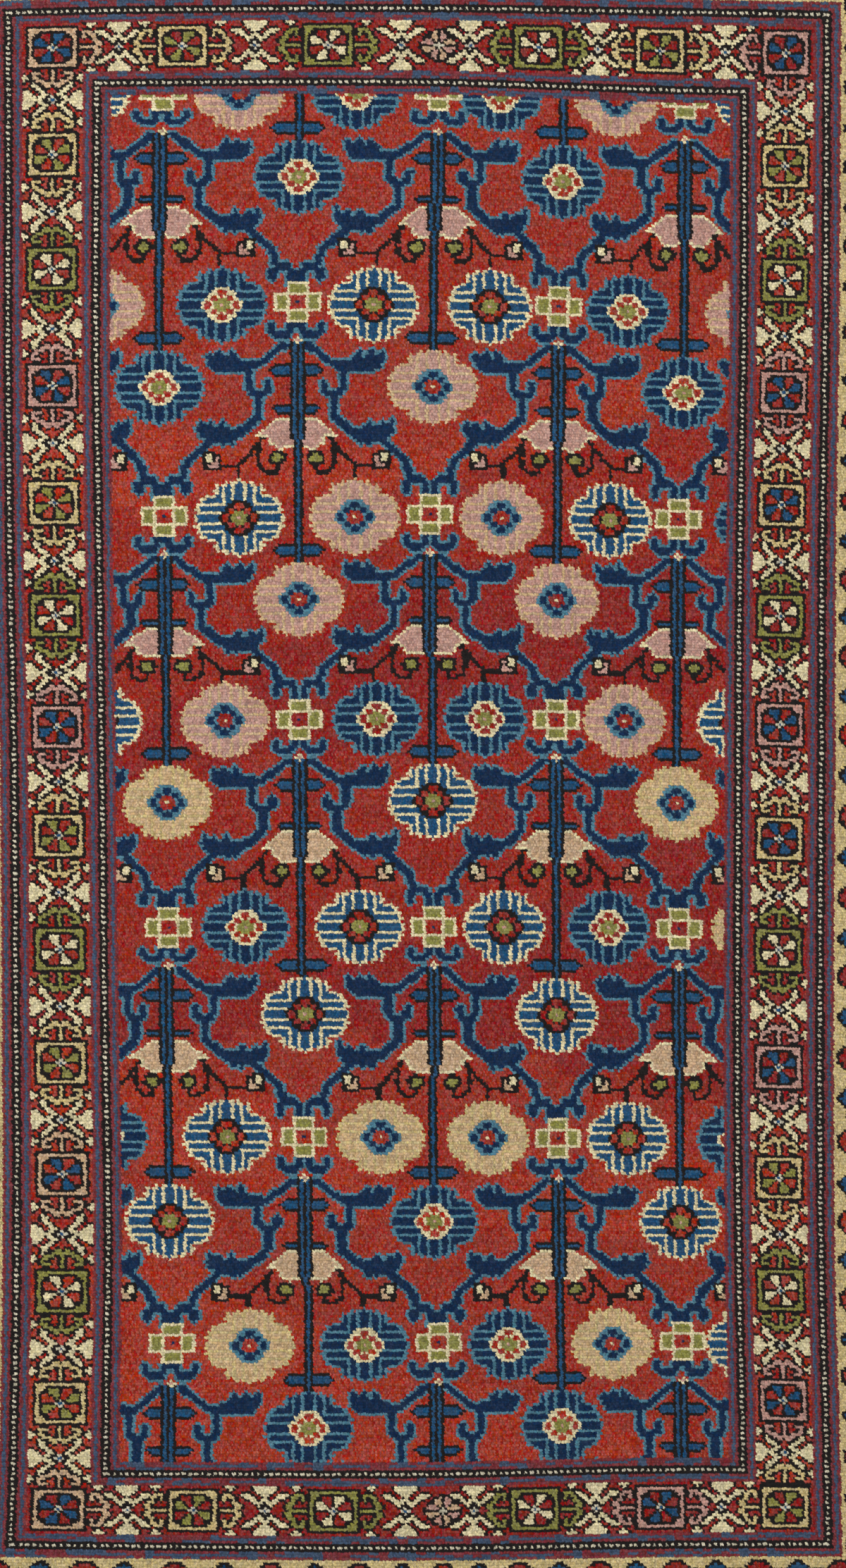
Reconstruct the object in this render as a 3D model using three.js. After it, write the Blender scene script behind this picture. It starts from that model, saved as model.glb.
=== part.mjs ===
// A hand-knotted oriental rug, lying flat with its pile up.
// Millimetres, +Z up, +Y along the rug. The origin is on the floor, under the middle of the rug.
// The rug is woven in one piece, so it is one solid. Its parts, from the middle outwards, are
// the knotted pile on its foundation, a flat-woven band at each end, and an overcast side cord.

import * as THREE from "three";

// Driving sizes. The pile is counted in knots across and rows of knots along.
const KNOT_WIDTH = 3.74;
const ROW_HEIGHT = 3.27;
const KNOTS_ACROSS = 349;
const ROWS_ALONG = 655;
const RUG_THICKNESS = 9.5;
const FOUNDATION_THICKNESS = 3;
const PILE_SHOULDER = 4;
const SIDE_CORD_WIDTH = 8;
const SIDE_CORD_THICKNESS = 6;
const CORD_EDGE_THICKNESS = 2.4;
const END_BAND_LENGTH = 16;
const END_BAND_EDGE_THICKNESS = 2.2;
const STATIONS_ALONG_PILE = 24;
const STATIONS_ACROSS_PILE = 12;

// How far each edge strays from a straight line, at five stations along it. A hand-woven rug
// is never square: this one is drawn in at the waist. Positive is towards +X or +Y.
const STRAY = {
  left: { bottom: -3.4, lower: 5.7, middle: 2.7, upper: -4.8, top: -6.4 },
  right: { bottom: 7.6, lower: -3.0, middle: -1.3, upper: 3.1, top: 7.0 },
  bottom: { left: 0, midLeft: -1.5, middle: -2.6, midRight: 1.6, right: -0.4 },
  top: { left: -4.7, midLeft: 1.5, middle: 2.1, midRight: 0.2, right: -5.8 },
};

const halfPileWidth = (KNOTS_ACROSS * KNOT_WIDTH) / 2;
const halfPileLength = (ROWS_ALONG * ROW_HEIGHT) / 2;
const halfWidth = halfPileWidth + SIDE_CORD_WIDTH;
const halfLength = halfPileLength + END_BAND_LENGTH;

// A smooth curve through the five values of an edge, read at t from -1 to 1.
function strayAt(edge, t) {
  const values = Object.values(edge);
  const curve = new THREE.SplineCurve(
    values.map((value, i) => new THREE.Vector2(i, value)),
  );
  return curve.getPoint((t + 1) / 2).y;
}

// The height of the rug's top along one direction, as stations of [place, height] from one
// edge to the other. The edge profile is given from the outside in, and mirrored.
function heightStations(edgeProfile, half, innerStations) {
  const inner = half - edgeProfile.at(-1).inset;
  const low = edgeProfile.map(({ inset, height }) => ({
    place: inset - half,
    height,
  }));
  const middle = Array.from({ length: innerStations - 1 }, (_, i) => ({
    place: -inner + (2 * inner * (i + 1)) / innerStations,
    height: RUG_THICKNESS,
  }));
  const high = low
    .map(({ place, height }) => ({ place: -place, height }))
    .reverse();
  return [...low, ...middle, ...high];
}

// Across the rug: the round side cord, the groove beside it, and the shoulder of the pile.
const sideProfile = [
  { inset: 0, height: CORD_EDGE_THICKNESS },
  { inset: SIDE_CORD_WIDTH * 0.2, height: SIDE_CORD_THICKNESS * 0.85 },
  { inset: SIDE_CORD_WIDTH * 0.5, height: SIDE_CORD_THICKNESS },
  { inset: SIDE_CORD_WIDTH * 0.8, height: SIDE_CORD_THICKNESS * 0.85 },
  { inset: SIDE_CORD_WIDTH, height: FOUNDATION_THICKNESS + 1 },
  { inset: SIDE_CORD_WIDTH + PILE_SHOULDER * 0.35, height: RUG_THICKNESS * 0.8 },
  { inset: SIDE_CORD_WIDTH + PILE_SHOULDER, height: RUG_THICKNESS },
];

// Along the rug: the flat-woven end band, and the shoulder of the pile.
const endProfile = [
  { inset: 0, height: END_BAND_EDGE_THICKNESS },
  { inset: END_BAND_LENGTH * 0.12, height: FOUNDATION_THICKNESS },
  { inset: END_BAND_LENGTH, height: FOUNDATION_THICKNESS },
  { inset: END_BAND_LENGTH + PILE_SHOULDER * 0.35, height: RUG_THICKNESS * 0.8 },
  { inset: END_BAND_LENGTH + PILE_SHOULDER, height: RUG_THICKNESS },
];

// The rug as a box cut into stations both ways, whose points are moved to the stations'
// places, strayed as the edges stray, and raised to the lower of the two profiles.
function rugGeometry() {
  const across = heightStations(sideProfile, halfWidth, STATIONS_ACROSS_PILE);
  const along = heightStations(endProfile, halfLength, STATIONS_ALONG_PILE);
  const geometry = new THREE.BoxGeometry(
    2,
    2,
    2,
    across.length - 1,
    along.length - 1,
    1,
  );
  const points = geometry.getAttribute("position");
  const stationOf = (value, stations) =>
    stations[Math.round(((value + 1) / 2) * (stations.length - 1))];

  for (let i = 0; i < points.count; i += 1) {
    const column = stationOf(points.getX(i), across);
    const row = stationOf(points.getY(i), along);
    const u = column.place / halfWidth;
    const v = row.place / halfLength;
    const strayX =
      (strayAt(STRAY.left, v) * (1 - u) + strayAt(STRAY.right, v) * (1 + u)) / 2;
    const strayY =
      (strayAt(STRAY.bottom, u) * (1 - v) + strayAt(STRAY.top, u) * (1 + v)) / 2;
    const top = Math.min(column.height, row.height);
    points.setXYZ(
      i,
      column.place + strayX,
      row.place + strayY,
      points.getZ(i) > 0 ? top : 0,
    );
  }
  return geometry;
}

// The straying edges leave the box off centre by a millimetre or two, so it is centred again.
function centred(geometry) {
  geometry.computeBoundingBox();
  const middle = geometry.boundingBox.getCenter(new THREE.Vector3());
  geometry.translate(-middle.x, -middle.y, 0);
  geometry.deleteAttribute("uv");
  geometry.computeVertexNormals();
  return geometry;
}

const wool = new THREE.MeshStandardMaterial({
  color: 0xa8352b,
  roughness: 0.95,
  metalness: 0,
});

const rug = new THREE.Mesh(centred(rugGeometry()), wool);
rug.name = "rug";

const group = new THREE.Group();
group.add(rug);

export default group;
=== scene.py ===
"""A hand-knotted oriental rug, lying flat on a pale floor.

The rug is knotted the way a weaver works: a drawing gives every knot its wool, and the pile and
the back are made from that drawing, one face for each knot. Overcast cords finish the sides,
and flat-woven bands the ends. The file is laid out as a Blender add-on and is run as a script.
"""

from functools import partial

import bmesh
import bpy
import numpy as np
from bpy.props import FloatProperty, FloatVectorProperty, PointerProperty
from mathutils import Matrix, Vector


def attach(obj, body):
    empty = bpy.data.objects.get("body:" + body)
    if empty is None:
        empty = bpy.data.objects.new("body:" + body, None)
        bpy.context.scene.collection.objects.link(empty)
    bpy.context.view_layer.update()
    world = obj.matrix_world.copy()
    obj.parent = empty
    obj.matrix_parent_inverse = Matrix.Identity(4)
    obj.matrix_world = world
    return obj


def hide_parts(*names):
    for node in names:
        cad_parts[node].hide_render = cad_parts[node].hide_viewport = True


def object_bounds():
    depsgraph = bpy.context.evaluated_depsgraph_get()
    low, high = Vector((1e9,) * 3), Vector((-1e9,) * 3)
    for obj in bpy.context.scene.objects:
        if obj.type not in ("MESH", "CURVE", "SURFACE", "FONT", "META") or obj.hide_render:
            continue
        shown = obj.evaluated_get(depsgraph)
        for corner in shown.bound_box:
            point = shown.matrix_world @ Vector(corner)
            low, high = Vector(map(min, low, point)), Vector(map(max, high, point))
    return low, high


bl_info = {
    "name": "Hand-knotted Rug",
    "version": (1, 0, 0),
    "blender": (4, 5, 0),
    "location": "3D View > Sidebar > Rug",
    "description": "Knots a trellis rug and finishes its back, sides and ends",
    "category": "Add Mesh",
}

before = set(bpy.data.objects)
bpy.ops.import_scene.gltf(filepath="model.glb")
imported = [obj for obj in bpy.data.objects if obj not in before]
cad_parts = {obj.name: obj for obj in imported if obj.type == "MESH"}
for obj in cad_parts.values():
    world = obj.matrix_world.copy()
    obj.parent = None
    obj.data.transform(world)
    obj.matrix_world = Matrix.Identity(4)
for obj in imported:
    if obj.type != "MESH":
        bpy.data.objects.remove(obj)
CAD_LOW, CAD_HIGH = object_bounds()

MM = 0.001

# The rug is counted in knots: columns across it and rows along it. Places in the drawing are
# counted from its middle knot, c to the right and r towards the far end.
KNOTS_ACROSS = 349
ROWS_ALONG = 655
MID_C = KNOTS_ACROSS // 2
MID_R = ROWS_ALONG // 2
HALF_C = KNOTS_ACROSS / 2
HALF_R = ROWS_ALONG / 2
FIELD_HALF_WIDTH = 98
FIELD_HALF_LENGTH = 251

# A guard of narrow stripes, from one side to the other. Its dots are single knots.
GUARD = ("crimson", "slate_blue", "crimson", "black", "dots", "black", "crimson", "slate_blue",
         "crimson")
# Across the ends, a guard's stripes mix: this share of them shows the other wool, in runs of so
# many knots.
MIXED_SHARE = 0.3
MIXED_RUN = 3
# The zones round the field, from the inside out, with how many knots each one takes.
ZONES = (
    {"zone": "guard", "knots": len(GUARD)},
    {"zone": "minor", "knots": 19},
    {"zone": "guard", "knots": len(GUARD)},
    {"zone": "main", "knots": 27},
    {"zone": "guard", "knots": len(GUARD)},
    {"zone": "plain", "knots": 3},
)

# The panels that the pile and the back are made in, so that no piece is too heavy.
PANELS_ACROSS = ("left", "right")
PANELS_ALONG = ("lower", "middle", "upper")
EDGES_C = (-HALF_C, -0.5, HALF_C)

# The wools, with the colour that each one shows in the pile.
WOOLS = {
    "madder": ("#98261b", "Red of the ground, from madder root"),
    "madder_warm": ("#9d2f22", "Red ground, a warmer dye lot"),
    "madder_orange": ("#a73220", "Red ground, the most orange dye lot"),
    "madder_deep": ("#8e1f1b", "Red ground, the deepest dye lot"),
    "crimson": ("#782f35", "Purplish red of the guard stripes"),
    "navy": ("#102a4a", "Deepest indigo, in branches, leaves and dark flowers"),
    "blue": ("#1f4c70", "Middle indigo, in stems and bright flowers"),
    "light_blue": ("#4c7a8c", "Palest indigo, round the branches"),
    "slate_blue": ("#3f5068", "Greyed indigo of the guard stripes"),
    "black": ("#1e1a19", "Brown-black outlines, from walnut and iron"),
    "ivory": ("#d8ca9f", "Undyed light wool"),
    "cream": ("#c6a67c", "Cream flowers and the lines in rose ones"),
    "rose": ("#b98d80", "Washed-out pink"),
    "blush": ("#c2a17f", "Palest pink"),
    "green": ("#878443", "Yellow over indigo"),
    "tan": ("#c6b07a", "Straw ground of squares and the main border"),
    "white": ("#c3baa2", "Whitest wool, in the guards' dots"),
}
WOOL = {name: number for number, name in enumerate(WOOLS)}


# Sizes and colours that a user would change


def linear(hex_colour):
    """An sRGB hex colour as linear red, green and blue"""
    channels = (int(hex_colour[i:i + 2], 16) / 255 for i in (1, 3, 5))
    return tuple(c / 12.92 if c <= 0.04045 else ((c + 0.055) / 1.055) ** 2.4 for c in channels)


def length_property(name, description, default):
    """A size in metres"""
    return FloatProperty(
        name=name,
        description=description,
        default=default,
        min=0,
        precision=5,
        subtype="DISTANCE",
        unit="LENGTH",
    )


class RugSizes(bpy.types.PropertyGroup):
    """The rug's sizes"""

    knot_width: length_property("Knot width", "Width of a knot, across the rug", 3.74 * MM)
    row_height: length_property("Row height", "Height of a row of knots, along the rug", 3.27 * MM)
    thickness: length_property("Thickness", "From the floor to the top of the pile", CAD_HIGH.z)
    foundation: length_property("Foundation", "Thickness of the woven ground", 3 * MM)
    shoulder: length_property("Shoulder", "How far in the pile reaches its full height", 4 * MM)
    unevenness: length_property("Unevenness", "How much the tops of the knots differ", 0.22 * MM)
    cord_width: length_property("Side cord width", "Width of the overcast cord", 8 * MM)
    cord_thickness: length_property("Side cord thickness", "Thickness of the cord", 6 * MM)
    wrap_pitch: length_property("Wrap pitch", "From one turn of overcasting to the next", 2.5 * MM)
    band_length: length_property("End band", "Length of the flat-woven end", 16 * MM)


class RugWools(bpy.types.PropertyGroup):
    """The colour of each wool"""

    # One colour property for each row of the table.
    __annotations__ = {
        name: FloatVectorProperty(
            name=name.replace("_", " ").capitalize(),
            description=description,
            default=linear(colour),
            min=0,
            max=1,
            size=3,
            subtype="COLOR",
        )
        for name, (colour, description) in WOOLS.items()
    }


# How the weaving strays. A hand-woven rug is never square: each woven line wanders by some
# millimetres, given at evenly spaced places along it, and what lies between two lines follows
# both.

# Lines that run along the rug, at a count of knots from its middle. Their strays go to the
# right, from the near end to the far one.
LINES_ALONG = (
    {"knots": -HALF_C, "stray": (-3.4, 5.7, 2.7, -4.8, -6.4)},
    {"knots": -131, "stray": (-6, 2.8, 7.2, 6, 4.2, -1.2, -3.5, -3, -5)},
    {"knots": -103, "stray": (9, 9.4, 12.6, 8.3, 5.2, 1.5, -2.3, -1.2, -1.5)},
    {"knots": 0, "stray": (12, 12.5, 9.6, 6, 3.7, 4.2, 4.2, 7.1, 7)},
    {"knots": 103, "stray": (9, 7.4, 2.2, 0.8, 2.2, 4, 8.4, 9.4, 9.5)},
    {"knots": 131, "stray": (8, 3.5, -3.4, -4.5, -2.9, -2, 2.1, 3.6, 6)},
    {"knots": HALF_C, "stray": (7.6, -3.0, -1.3, 3.1, 7.0)},
)
# Lines that run across it. Their strays go towards the far end, from left to right.
LINES_ACROSS = (
    {"knots": -HALF_R, "stray": (0, -1.5, -2.6, 1.6, -0.4)},
    {"knots": -284, "stray": (6, 1.7, -0.6, 4, 4)},
    {"knots": -256, "stray": (-2, -2.6, -3, 2.9, -3.5)},
    {"knots": -229, "stray": (-8, -4.9, -2.1, 0.2, -9)},
    {"knots": -190, "stray": (-4.5, -5.5, -5.7, -5.1, -11)},
    {"knots": -120, "stray": (-3, -3.8, -5.3, -8.2, -12.5)},
    {"knots": -60, "stray": (-4.5, -4.2, -3.4, -5.8, -14.5)},
    {"knots": 0, "stray": (-5, -3.9, -1.2, -4.8, -15)},
    {"knots": 60, "stray": (-4, -3.3, 0.4, -5.5, -12)},
    {"knots": 120, "stray": (-2.5, -0.8, 1, -5.8, -12)},
    {"knots": 190, "stray": (-6, 0.9, 1.1, -10.1, -14)},
    {"knots": 256, "stray": (-2, 1.5, 2, -8.4, -12)},
    {"knots": 284, "stray": (-9.5, -2.6, -0.5, -5.5, -10.5)},
    {"knots": HALF_R, "stray": (-4.7, 1.5, 2.1, 0.2, -5.8)},
)


def smooth_through(values, t):
    """A smooth curve through evenly spaced values, read at t from -1 to 1"""
    values = np.asarray(values, float)
    last = len(values) - 1
    place = np.clip((np.asarray(t, float) + 1) / 2 * last, 0, last)
    i = np.minimum(place.astype(int), last - 1)
    share = place - i
    start, end = values[i], values[i + 1]
    slope_in = (end - values[np.maximum(i - 1, 0)]) / 2
    slope_out = (values[np.minimum(i + 2, last)] - start) / 2
    bend = 2 * start - 2 * end + slope_in + slope_out
    swing = 3 * end - 3 * start - 2 * slope_in - slope_out
    return start + share * (slope_in + share * (swing + share * bend))


def stray(lines, knots, t):
    """How far points stray, in metres, from the lines on both sides of them"""
    strays = [smooth_through(line["stray"], t) for line in lines]
    result = strays[0]
    for i in range(len(lines) - 1):
        start, end = lines[i]["knots"], lines[i + 1]["knots"]
        share = np.clip((knots - start) / (end - start), 0, 1)
        result = result + share * (strays[i + 1] - strays[i])
    return result * MM


class Loom:
    """Turns places counted in knots into places on the floor"""

    def __init__(self, sizes):
        self.sizes = sizes
        self.half_width = HALF_C * sizes.knot_width + sizes.cord_width
        self.half_length = HALF_R * sizes.row_height + sizes.band_length
        # The outline's box is centred over the origin, as the CAD's is.
        t = np.linspace(-1, 1, 201)
        one = np.ones(t.shape)
        left, right = (stray(LINES_ALONG, side * HALF_C * one, t) for side in (-1, 1))
        near, far = (stray(LINES_ACROSS, side * HALF_R * one, t) for side in (-1, 1))
        self.middle_x = (left.min() + right.max()) / 2
        self.middle_y = (near.min() + far.max()) / 2

    def place(self, c, r, beyond_x=0.0, beyond_y=0.0):
        """Where a knot's corner lies. The last two reach past the pile, in metres."""
        x = c * self.sizes.knot_width + beyond_x
        y = r * self.sizes.row_height + beyond_y
        along = stray(LINES_ALONG, c, y / self.half_length)
        across = stray(LINES_ACROSS, r, x / self.half_width)
        return x + along - self.middle_x, y + across - self.middle_y


# The drawing


class KnotSheet:
    """A rug's drawing, with one wool for each knot"""

    def __init__(self):
        self.c, self.r = np.meshgrid(np.arange(KNOTS_ACROSS) - MID_C, np.arange(ROWS_ALONG) - MID_R)
        self.wool = np.full(self.c.shape, WOOL["madder"], np.uint8)
        self.ring = np.maximum(abs(self.c) - FIELD_HALF_WIDTH, abs(self.r) - FIELD_HALF_LENGTH)
        self.area = np.ones(self.c.shape, bool)

    def blank(self):
        """A mask with no knots in it"""
        return np.zeros(self.c.shape, bool)

    def paint(self, mask, wool):
        """Knot a mask, inside the area that is being drawn"""
        self.wool[mask & self.area] = WOOL[wool]

    def put(self, c, r, wool):
        """Knot one knot, inside the area that is being drawn"""
        i, j = r + MID_R, c + MID_C
        if 0 <= i < ROWS_ALONG and 0 <= j < KNOTS_ACROSS and self.area[i, j]:
            self.wool[i, j] = WOOL[wool]

    def near(self, points, margin):
        """The part of the sheet that lies within a margin of some points"""
        low = np.floor(np.min(points, axis=0) - margin).astype(int) + (MID_C, MID_R)
        high = np.ceil(np.max(points, axis=0) + margin).astype(int) + (MID_C + 1, MID_R + 1)
        low, high = (np.clip(corner, 0, (KNOTS_ACROSS, ROWS_ALONG)) for corner in (low, high))
        return slice(low[1], high[1]), slice(low[0], high[0])

    def add_line(self, mask, points, width):
        """Add the knots whose middles lie within a line through the points"""
        for (c0, r0), (c1, r1) in zip(points, points[1:]):
            part = self.near(((c0, r0), (c1, r1)), width)
            c, r = self.c[part] - c0, self.r[part] - r0
            run, rise = c1 - c0, r1 - r0
            share = np.clip((c * run + r * rise) / (run * run + rise * rise), 0, 1)
            mask[part] |= np.hypot(c - share * run, r - share * rise) <= width / 2

    def add_shape(self, mask, points):
        """Add the knots whose middles lie inside an outline"""
        part = self.near(points, 1)
        c, r = self.c[part], self.r[part]
        inside = np.zeros(c.shape, bool)
        for (c0, r0), (c1, r1) in zip(points, (*points[1:], points[0])):
            if r0 != r1:
                inside ^= ((r0 > r) != (r1 > r)) & (c < c0 + (r - r0) * (c1 - c0) / (r1 - r0))
        mask[part] |= inside

    def add_oval(self, mask, c, r, width, height):
        """Add the knots whose middles lie inside an oval"""
        part = self.near(((c, r),), max(width, height))
        mask[part] |= np.hypot((self.c[part] - c) / width, (self.r[part] - r) / height) <= 0.5

    def add_bar(self, mask, c, r, width, height):
        """Add the knots whose middles lie inside a box"""
        part = self.near(((c, r),), max(width, height))
        mask[part] |= (abs(self.c[part] - c) <= width / 2) & (abs(self.r[part] - r) <= height / 2)

    def stamp(self, chart, wools, c, r):
        """Knot a quarter chart four ways round a place"""
        reach = len(chart) - 1
        for y in range(-reach, reach + 1):
            row = chart[reach - abs(y)]
            for x in range(1 - len(row), len(row)):
                if row[abs(x)] != ".":
                    self.put(nearest(c) + x, nearest(r) + y, wools[row[abs(x)]])


def nearest(value):
    """The nearest whole knot"""
    return int(np.floor(value + 0.5))


def grown(mask):
    """The mask with the knots on its four sides"""
    wide = mask.copy()
    wide[1:] |= mask[:-1]
    wide[:-1] |= mask[1:]
    wide[:, 1:] |= mask[:, :-1]
    wide[:, :-1] |= mask[:, 1:]
    return wide


def placed(points, c, r, side=1, wider=1.0, taller=1.0):
    """Points counted from a place, on its right side (1) or its left one (-1)"""
    return [(c + side * wider * x, r + taller * y) for x, y in points]


# The field: a trellis of crosses and branches, with round flowers in its gaps.

# The rows of crosses, from the far end down, with the row of the joint that hangs below each
# cross. The outermost columns of every other row lie outside the field, and only their
# branches reach in. The last row lies below the field.
CROSS_ROWS = (
    {"row": 253, "joint": 238.5, "columns": (-82.5, 5, 84)},
    {"row": 174.5, "joint": 161, "columns": (-120.5, -39.5, 44, 121)},
    {"row": 96.5, "joint": 83, "columns": (-82.5, 3, 83)},
    {"row": 22, "joint": 8.5, "columns": (-120.5, -39, 43.5, 121)},
    {"row": -54, "joint": -68, "columns": (-82.5, 4, 83.5)},
    {"row": -131.5, "joint": -145.5, "columns": (-120.5, -39, 43.5, 121)},
    {"row": -207.5, "joint": -222, "columns": (-82.5, 3.5, 83.5)},
    {"row": -289, "joint": -303, "columns": ()},
)
# The columns of that last row, which only the branches above it reach for.
LAST_COLUMNS = (-120.5, -39, 43.5, 121)
# The flowers that hang from the stems of the row of joints above them.
HANGING_FLOWERS = (
    {"joint": 315, "row": 221, "flowers": {-39.5: "dark", 44.5: "dark"}},
    {"joint": 238.5, "row": 144, "flowers": {-83: "dark", 3.5: "rose", 83.5: "dark"}},
    {"joint": 161, "row": 66, "flowers": {-39: "rose", 43.5: "rose"}},
    {"joint": 83, "row": -8, "flowers": {-82: "cream", 4: "bright", 83: "cream"}},
    {"joint": 8.5, "row": -86, "flowers": {-38.5: "bright", 43.5: "bright"}},
    {"joint": -68, "row": -162.5, "flowers": {-83: "bright", 3: "dark", 83.5: "bright"}},
    {"joint": -145.5, "row": -239.5, "flowers": {-38: "dark", 43.5: "dark"}},
    {"joint": -222, "row": -316, "flowers": {-83: "dark", 3: "dark", 83: "dark"}},
)
# The flowers between the crosses of a row.
FLANKING_FLOWERS = (
    {"row": 251.5, "flowers": {-107.5: "bright", -58: "rose", -21: "dark", 25: "dark", 62: "rose",
                               107: "bright"}},
    {"row": 174, "flowers": {-102: "rose", -63: "dark", -15.5: "bright", 22: "bright",
                             65.5: "dark", 104: "rose"}},
    {"row": 96, "flowers": {-58.5: "bright", -21: "rose", 26: "rose", 61: "bright", 108: "dark"}},
    {"row": 22, "flowers": {-104: "bright", -63.5: "rose", -14.5: "dark", 21: "dark", 66: "rose",
                            103: "bright"}},
    {"row": -54.5, "flowers": {-57.5: "dark", -20.5: "bright", 27: "bright", 61: "dark",
                               108: "cream"}},
    {"row": -131.5, "flowers": {-104: "dark", -64: "bright", -14.5: "cream", 21: "cream",
                                66.5: "bright", 103: "dark"}},
    {"row": -208.5, "flowers": {-57.5: "cream", -20: "dark", 27: "dark", 61: "cream",
                                105: "bright"}},
)

# A quarter of a round flower, from its middle column to the right and from its top row down to
# its middle one: e edge, l line, b body, k ring, p petals, g heart, d its dot.
FLOWER = (
    "e..............",
    "bee.e..........",
    "bblbee.e.......",
    "bblbblbe.......",
    "bblbblbee......",
    "bblbblbe.......",
    "bblbblbbeee....",
    "bblbblbbbbbee..",
    "kkkbblbbbbbbe..",
    "ppkkblllllllle.",
    "ppkkkbbbbbbbbe.",
    "pkppkbbbbbbbbee",
    "ggppkkllllllle.",
    "gggkppkbbbbbbbe",
    "dggkppkbbbbbbbe",
)
# The weaver tied the flowers to the right of a column narrower, by one knot on each side.
NARROW_FLOWER = tuple(row[:8] + row[9:] for row in FLOWER)
NARROW_FROM = 10
FLOWER_WOOLS = {
    "dark": {"b": "navy", "l": "light_blue", "e": "light_blue", "k": "ivory", "p": "madder",
             "g": "green", "d": "rose"},
    "bright": {"b": "blue", "l": "ivory", "e": "ivory", "k": "black", "p": "madder",
               "g": "green", "d": "rose"},
    "rose": {"b": "rose", "l": "cream", "e": "cream", "k": "light_blue", "p": "navy",
             "g": "madder", "d": "ivory"},
    "cream": {"b": "cream", "l": "tan", "e": "tan", "k": "light_blue", "p": "navy",
              "g": "madder", "d": "ivory"},
}

# A quarter of a cross, and of the small star on each joint.
CROSS = (
    "iiii....",
    "gggi....",
    "gggi....",
    "gggi....",
    "iiiiiiii",
    "rrrigggi",
    "rrrigggi",
    "nrrigggi",
)
STAR = (
    "i.",
    "pi",
)
CROSS_WOOLS = {"i": "ivory", "g": "green", "r": "madder", "n": "navy", "p": "rose"}

# The hooks above and below a cross, on its right side, in knots from its middle.
HOOKS = (
    ((1.5, 7), (1.5, 11.5), (3, 13.5), (5.5, 13.5), (7.5, 12), (7.5, 9.5)),
    ((1.5, -7.5), (1.8, -10), (3.2, -11.6), (6, -11.6), (7.8, -10), (7.8, -8.2)),
)
# The branch from a joint down to the next cross, on its right side, in knots from the joint. It
# is drawn for a cross that stands this far across and below, and stretched to reach its own.
BRANCH_RUN = 43
BRANCH_DROP = 61
BRANCH = (
    ((3.6, -1.6), (10.5, -7.2)),
    ((15, -9), (15, -16.5), (13.5, -18.6), (11, -18.8), (9, -17.8), (8.8, -15)),
    ((12, -19), (12, -26.5), (18, -31.5)),
    ((27.3, -34.5), (35, -42), (36.5, -47)),
)
LEAVES = (
    ((9, -5.2), (12.5, -7.4), (17.5, -7.2), (19.5, -4.5), (20.8, -2.8), (21.8, -6), (24.2, -3),
     (26, -5.2), (28.2, -3.2), (28.6, -6), (28, -8), (26.5, -10), (25, -10.8), (18, -10.8),
     (14, -10.6), (11, -9)),
    ((13, -26.5), (19, -30.5), (22, -30.2), (23.8, -27.6), (25, -30.3), (26.3, -30.2),
     (27.8, -27.9), (29.2, -29.6), (31, -26.6), (31.8, -31), (30.5, -33.5), (27.5, -35),
     (24.5, -35.2), (23.3, -36.6), (22, -35.2), (20.6, -36.6), (19.5, -34.7), (16, -32),
     (12.5, -29)),
)
BRANCH_WIDTH = 2.3

# What grows from the stem below a joint, on its right side, in knots from the joint.
TULIP = ((0, -26.8), (6, -26.8), (8, -28.5), (12.6, -32.6), (12.6, -33.6), (9.2, -33.4),
         (8.8, -36), (7, -37.2), (5.4, -38), (0, -37.4))
TENDRILS = (
    ((10.8, -33.8), (12, -36), (16.5, -41), (18.5, -43), (18.5, -47)),
    ((11.8, -35.5), (12.4, -41), (11.6, -44.4), (9, -46), (6.8, -45.8), (6.2, -44.4)),
    ((18.5, -43.4), (25, -43.4)),
)
TENDRIL_WIDTH = 1.45
INNER_BUD = (6.2, -41)
OUTER_BUD = (27.2, -41.5)
# The outer bud on the right side, from its upper left.
BUD = (
    "..kkkk",
    "kkkiik",
    "kpkiik",
    "kpkiik",
    "kppkkk",
    "kpppkk",
    "kkkkkk",
)
# Tulips and buds on joints above this row are rose, and those below it are blush.
LOWEST_ROSE_TULIP = 50
# The bars across a stem: how far below the joint, or above the flower, each one lies.
CROSSBARS = (
    {"from": "joint", "off": -10.8, "rows": 3, "reach": 7.2},
    {"from": "joint", "off": -25.3, "rows": 1.4, "reach": 6.2},
    {"from": "flower", "off": 18.3, "rows": 3, "reach": 7.2},
)
FLOWER_REACH = 14
# How far below its joint a stem is double.
DOUBLE_STEM = 37


def branch_sides(crosses, below):
    """Each joint of a row with the side, the width and the height of its two branches"""
    taller = (crosses["joint"] - below["row"]) / BRANCH_DROP
    targets = below["columns"] or LAST_COLUMNS
    for c in crosses["columns"]:
        for side in (-1, 1):
            runs = [abs(column - c) for column in targets if (column - c) * side > 0]
            yield c, side, min(runs, default=0) / BRANCH_RUN, taller


def draw_branches(sheet):
    """The hooked and leafy branches, navy with a light edge"""
    branches = sheet.blank()
    for crosses, below in zip(CROSS_ROWS, CROSS_ROWS[1:]):
        for c, side, wider, taller in branch_sides(crosses, below):
            for hook in HOOKS:
                sheet.add_line(branches, placed(hook, c, crosses["row"], side), BRANCH_WIDTH)
            if wider == 0:
                continue
            for line in BRANCH:
                points = placed(line, c, crosses["joint"], side, wider, taller)
                sheet.add_line(branches, points, BRANCH_WIDTH)
            for leaf in LEAVES:
                sheet.add_shape(branches, placed(leaf, c, crosses["joint"], side, wider, taller))
    sheet.paint(grown(branches), "light_blue")
    sheet.paint(branches, "navy")


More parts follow.
